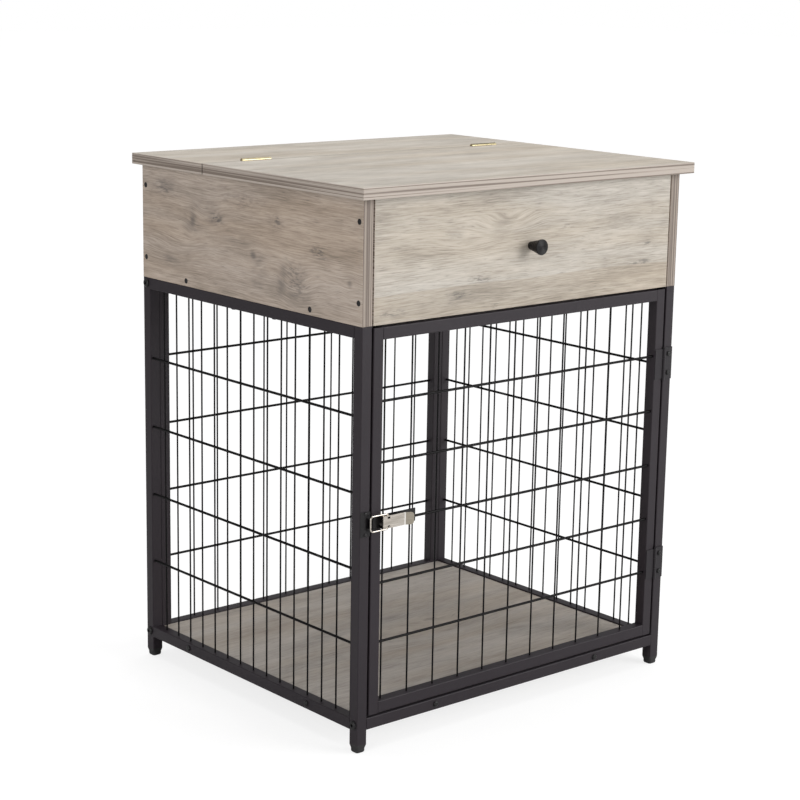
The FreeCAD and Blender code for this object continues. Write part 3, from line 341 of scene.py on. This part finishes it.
floor_oak = grey_oak(
    "grey_oak_floor_painted_shade", 0, 1,
    ("#86807a", "#a39c95", "#b4ada6", "#5b5651", "#5d5650", "#7b736b"), BOX_STRIPES,
    figures=[((0.06, -0.02), (0.18, 0.07), 0.1, 0.03)],
    knots=[((0.02, 0.06), (0.03, 0.012), 0.0, 0.35)],
    smudges=[((0.13, -0.09), (0.05, 0.02), 0.0, 0.5), ((-0.15, 0.05), (0.08, 0.03), 0.2, 0.3)],
    flecks=[((0.06, 0.02), (0.05, 0.01), 0.0, 0.5), ((-0.12, -0.1), (0.05, 0.01), 0.0, 0.4)])
dress(floor_oak, "floor_board")


# Knob: a steel cone turned with fine rings, painted satin black and screwed on from inside.
# The rings are 1 mm apart round the knob's axis, coarser than the tool's real marks.

KNOB_AXIS = (0.0, 0.0, 0.63956)
RING_PITCH = 0.001
WEAR_WIDTH = 0.003
turned_black, tree = new_finish("turned_steel_black_paint")
place = add(tree, "ShaderNodeTexCoord").outputs["Object"]
centred = add(tree, "ShaderNodeVectorMath", {0: place, 1: KNOB_AXIS}, operation="SUBTRACT")
around = add(tree, "ShaderNodeVectorMath", {0: centred.outputs[0], 1: (1, 0, 1)},
             operation="MULTIPLY")
radius = add(tree, "ShaderNodeVectorMath", {0: around.outputs[0]}, operation="LENGTH")
phase = add(tree, "ShaderNodeMath", {0: radius.outputs["Value"], 1: math.tau / RING_PITCH},
            operation="MULTIPLY")
rings = add(tree, "ShaderNodeMath", {0: phase.outputs[0]}, operation="SINE")
bump = add(tree, "ShaderNodeBump", {
    "Height": rings.outputs[0], "Strength": 0.5, "Distance": 0.0002})
wear = add(tree, "ShaderNodeTexNoise", {"Vector": place, "Scale": 1 / WEAR_WIDTH, "Detail": 3.0})
shade = add(tree, "ShaderNodeValToRGB", {"Fac": wear.outputs["Fac"]})
shade.color_ramp.elements[0].color = hex_colour("#080708")
shade.color_ramp.elements[1].color = hex_colour("#171516")
shader = add(tree, "ShaderNodeBsdfPrincipled", {
    "Base Color": shade.outputs["Color"], "Roughness": 0.4, "Specular IOR Level": 0.25,
    "Normal": bump.outputs["Normal"]})
add(tree, "ShaderNodeOutputMaterial", {"Surface": shader.outputs["BSDF"]})
dress(turned_black, "knob")


# Knob screw: steel machine screw with a bright zinc plate. Its pan head lies inside the box
# and draws the knob against the front panel.

MARK_WIDTH = 0.0015
# Reach of the painted highlight along a bend, and the blur where the painted shade of the bent end
# begins.
BEND_INNER, BEND_OUTER = 0.0004, 0.0012
TIP_SHADE_BLUR = 0.001


def bright_metal(name, dark, light, roughness, bend=None):
    """Bright plate on drawn steel, or bare brass. Its marks are drawn 1.5 mm wide, coarser
    than the real ones. A bend across X gets a painted highlight, a bright line 1.6 mm wide,
    and painted shade on the bent end beyond it."""
    finish, tree = new_finish(name)
    place = add(tree, "ShaderNodeTexCoord").outputs["Object"]
    marks = add(tree, "ShaderNodeMapping", {"Vector": place, "Scale": (30.0, 30.0, 1 / MARK_WIDTH)})
    grain = add(tree, "ShaderNodeTexNoise", {
        "Vector": marks.outputs["Vector"], "Scale": 1.0, "Detail": 3.0})
    shade = add(tree, "ShaderNodeValToRGB", {"Fac": grain.outputs["Fac"]})
    shade.color_ramp.elements[0].position = 0.3
    shade.color_ramp.elements[0].color = hex_colour(dark)
    shade.color_ramp.elements[1].position = 0.7
    shade.color_ramp.elements[1].color = hex_colour(light)
    gloss = add(tree, "ShaderNodeMapRange", {
        "Value": grain.outputs["Fac"], "To Min": roughness - 0.05, "To Max": roughness + 0.07})
    colour = shade.outputs["Color"]
    if bend:
        along = add(tree, "ShaderNodeSeparateXYZ", {0: place}).outputs[0]
        past = add(tree, "ShaderNodeMath", {0: along, 1: bend}, operation="SUBTRACT").outputs[0]
        painted_tip_shade = add(tree, "ShaderNodeMapRange", {
            "Value": past, "From Max": TIP_SHADE_BLUR, "To Max": 0.6}).outputs["Result"]
        off = add(tree, "ShaderNodeMath", {0: past}, operation="ABSOLUTE").outputs[0]
        line = add(tree, "ShaderNodeMapRange", {
            "Value": off, "From Min": BEND_OUTER, "From Max": BEND_INNER,
            "To Max": 0.9}).outputs["Result"]
        # Painted shade on the bent end and a painted highlight along the bend.
        for amount, tone in ((painted_tip_shade, "#8d8471"), (line, "#fdfaf5")):
            colour = add(tree, "ShaderNodeMix", {0: amount, 6: colour, 7: hex_colour(tone)},
                         data_type="RGBA").outputs[2]
    shader = add(tree, "ShaderNodeBsdfPrincipled", {
        "Base Color": colour, "Metallic": 1.0, "Roughness": gloss.outputs["Result"]})
    add(tree, "ShaderNodeOutputMaterial", {"Surface": shader.outputs["BSDF"]})
    return finish


zinc_plate = bright_metal("bright_zinc_plate", "#a9abad", "#c9cbcc", roughness=0.32)
dress(zinc_plate, "knob_screw")


# Top: a fixed rear board on hidden beech dowels and the lid in front of it, both 15 mm
# laminated board with banded edges. The beech's rays are drawn 1.5 mm wide.

LID_SPLIT = 0.0875
TOP_STRIPES = (1.4, 1.4, 1 / 0.0017)
# Both boards carry a painted shade line along the split between them.
top_oak = grey_oak(
    "grey_oak_top_boards", 0, 1, oak_shades, TOP_STRIPES,
    figures=[((0.02, -0.12), (0.20, 0.06), 0.05, 0.02)],
    smudges=[((-0.05, -0.135), (0.08, 0.02), 0.0, 0.3), ((0.12, 0.0), (0.10, 0.02), 0.0, 0.25)],
    split=LID_SPLIT)
dress(top_oak, "rear_top_board", "lid")

RAY_WIDTH = 0.0015
raw_beech, tree = new_finish("raw_beech")
place = add(tree, "ShaderNodeTexCoord").outputs["Object"]
drawn = add(tree, "ShaderNodeMapping", {
    "Vector": place, "Scale": (1 / RAY_WIDTH, 1 / RAY_WIDTH, 60.0)})
rays = add(tree, "ShaderNodeTexNoise", {
    "Vector": drawn.outputs["Vector"], "Scale": 1.0, "Detail": 3.0})
shade = add(tree, "ShaderNodeValToRGB", {"Fac": rays.outputs["Fac"]})
shade.color_ramp.elements[0].color = hex_colour("#b98f62")
shade.color_ramp.elements[1].color = hex_colour("#dcb98c")
shader = add(tree, "ShaderNodeBsdfPrincipled", {
    "Base Color": shade.outputs["Color"], "Roughness": 0.65})
add(tree, "ShaderNodeOutputMaterial", {"Surface": shader.outputs["BSDF"]})
dress(raw_beech, "rear_board_dowels")


# Lid hinges: extruded brass butt hinges let into the boards' edges, with their barrels just
# above the top. Polished, with a pale warm colour.

brass = bright_metal("polished_brass", "#7f7458", "#bcb190", roughness=0.28)
dress(brass, "lid_hinge_left_fixed_leaf", "lid_hinge_left_moving_leaf", "lid_hinge_left_pin",
      "lid_hinge_right_fixed_leaf", "lid_hinge_right_moving_leaf", "lid_hinge_right_pin",
      "lid_hinge_fixed_screws", "lid_hinge_moving_screws")


# Door hinges: pressed steel leaves round a 2 mm pin, coated with the frame's charcoal. One
# leaf is screwed to the post, the other is welded to the door.

hinge_coat = coated_steel(
    "hinge_charcoal_powder_coat", "#1b171b", "#242024", roughness=0.4, specular=0.3)
dress(hinge_coat, "door_hinge_lower_post_leaf", "door_hinge_lower_door_leaf", "door_hinge_lower_pin",
      "door_hinge_upper_post_leaf", "door_hinge_upper_door_leaf", "door_hinge_upper_pin")


# Door latch: black coated catch on the post and base on the door, both pressed steel. The
# base carries a nickel plated lever, and the lever a bent wire bail that hooks the catch and
# draws the door shut.

catch_coat = coated_steel(
    "latch_black_powder_coat", "#0b090b", "#141214", roughness=0.34, specular=0.3)
dress(catch_coat, "latch_catch", "latch_base")
nickel_plate = bright_metal("bright_nickel_plate", "#aea79e", "#d2cbc2", roughness=0.22)
dress(nickel_plate, "latch_bail", "latch_lever_pin")
# The lever's finish has a painted highlight along its bend and painted shade on its bent tip.
LEVER_BEND = -0.2170
lever_plate = bright_metal(
    "bright_nickel_plate_lever", "#aea79e", "#d2cbc2", roughness=0.22, bend=LEVER_BEND)
dress(lever_plate, "latch_lever")


# Studio: a pale floor that the camera sees brighten to the white surround away from the
# crate, a large soft lamp in front on the right, one overhead and a weak one on the left.

FLOOR_SPAN = 40.0
FLOOR_SEEN_DARKER = 0.46
GLOW_NEAR, GLOW_FAR = 1.4, 4.5
GLOW_LOW, GLOW_HIGH = 0.785, 0.90
pale_floor, tree = new_finish("pale_floor")
rays = add(tree, "ShaderNodeLightPath")
place = add(tree, "ShaderNodeTexCoord").outputs["Object"]
dust = add(tree, "ShaderNodeTexNoise", {"Vector": place, "Scale": 4.0})
tint = add(tree, "ShaderNodeMapRange", {
    "Value": dust.outputs["Fac"], "To Min": 0.70, "To Max": 0.72})
seen = rays.outputs["Is Camera Ray"]
dim = add(tree, "ShaderNodeMath", {0: seen, 1: -FLOOR_SEEN_DARKER, 2: tint.outputs["Result"]},
          operation="MULTIPLY_ADD")
matt = add(tree, "ShaderNodeBsdfDiffuse", {"Color": dim.outputs[0]})
reach = add(tree, "ShaderNodeVectorMath", {0: place}, operation="LENGTH")
level = add(tree, "ShaderNodeMapRange", {
    "Value": reach.outputs["Value"], "From Min": GLOW_NEAR, "From Max": GLOW_FAR,
    "To Min": GLOW_LOW, "To Max": GLOW_HIGH})
power = add(tree, "ShaderNodeMath", {0: seen, 1: level.outputs["Result"]}, operation="MULTIPLY")
glow = add(tree, "ShaderNodeEmission", {"Strength": power.outputs[0]})
both = add(tree, "ShaderNodeAddShader", {0: matt.outputs[0], 1: glow.outputs[0]})
add(tree, "ShaderNodeOutputMaterial", {"Surface": both.outputs[0]})
bpy.ops.mesh.primitive_plane_add(size=FLOOR_SPAN, location=(0, 0, 0))
ground = bpy.context.object
ground.name = "studio_floor"
ground.data.materials.append(pale_floor)

SURROUND_LIGHT = 0.42
world = bpy.data.worlds.new("studio_surround")
bpy.context.scene.world = world
world.use_nodes = True
tree = world.node_tree
tree.nodes.clear()
rays = add(tree, "ShaderNodeLightPath")
seen = add(tree, "ShaderNodeMath", {
    0: rays.outputs["Is Camera Ray"], 1: rays.outputs["Is Transmission Ray"]}, operation="MAXIMUM")
level = add(tree, "ShaderNodeMapRange", {
    "Value": seen.outputs[0], "To Min": SURROUND_LIGHT, "To Max": 1.0})
sky = add(tree, "ShaderNodeBackground", {
    "Color": (1, 1, 1, 1), "Strength": level.outputs["Result"]})
add(tree, "ShaderNodeOutputWorld", {"Surface": sky.outputs[0]})


def soft_lamp(name, power, size, place, target):
    """Square area lamp aimed at a point."""
    light = bpy.data.lights.new(name, "AREA")
    light.energy = power
    light.size = size
    lamp = bpy.data.objects.new(name, light)
    bpy.context.scene.collection.objects.link(lamp)
    lamp.location = place
    aim = mathutils.Vector(target) - mathutils.Vector(place)
    lamp.rotation_euler = aim.to_track_quat("-Z", "Y").to_euler()


soft_lamp("key_lamp", power=185.0, size=2.6, place=(2.6, -4.0, 2.0), target=(0, 0, 0.4))
soft_lamp("overhead_lamp", power=57.0, size=2.5, place=(0.2, 0.3, 3.2), target=(0, 0, 0.7))
soft_lamp("left_lamp", power=42.0, size=2.0, place=(-3.2, -1.2, 1.6), target=(0, 0, 0.4))


# Camera: at the photograph's place, found by fitting the object's corners. It needs no lens
# shift.

PHOTO_PIXELS = 800
FOCAL_PIXELS = 2021.1
SENSOR_WIDTH = 36.0
FAR_CLIP = 100.0
CAMERA_PLACE = (-1.838, -2.1267, 1.0105)
YAW = math.radians(40.529)
PITCH = math.radians(-12.46)
ROLL = math.radians(0.985)

lens = bpy.data.cameras.new("photo_camera")
lens.sensor_width = SENSOR_WIDTH
lens.lens = FOCAL_PIXELS / PHOTO_PIXELS * SENSOR_WIDTH
lens.clip_end = FAR_CLIP
camera = bpy.data.objects.new("photo_camera", lens)
bpy.context.scene.collection.objects.link(camera)
level_ahead = mathutils.Vector((math.sin(YAW), math.cos(YAW), 0))
ahead = level_ahead * math.cos(PITCH) + mathutils.Vector((0, 0, math.sin(PITCH)))
level_right = mathutils.Vector((math.cos(YAW), -math.sin(YAW), 0))
level_up = level_right.cross(ahead)
right = level_right * math.cos(ROLL) + level_up * math.sin(ROLL)
up = level_up * math.cos(ROLL) - level_right * math.sin(ROLL)
turn = mathutils.Matrix((right, up, -ahead)).transposed().to_4x4()
camera.matrix_world = mathutils.Matrix.Translation(CAMERA_PLACE) @ turn
bpy.context.scene.camera = camera
bpy.context.scene.view_settings.view_transform = "Standard"
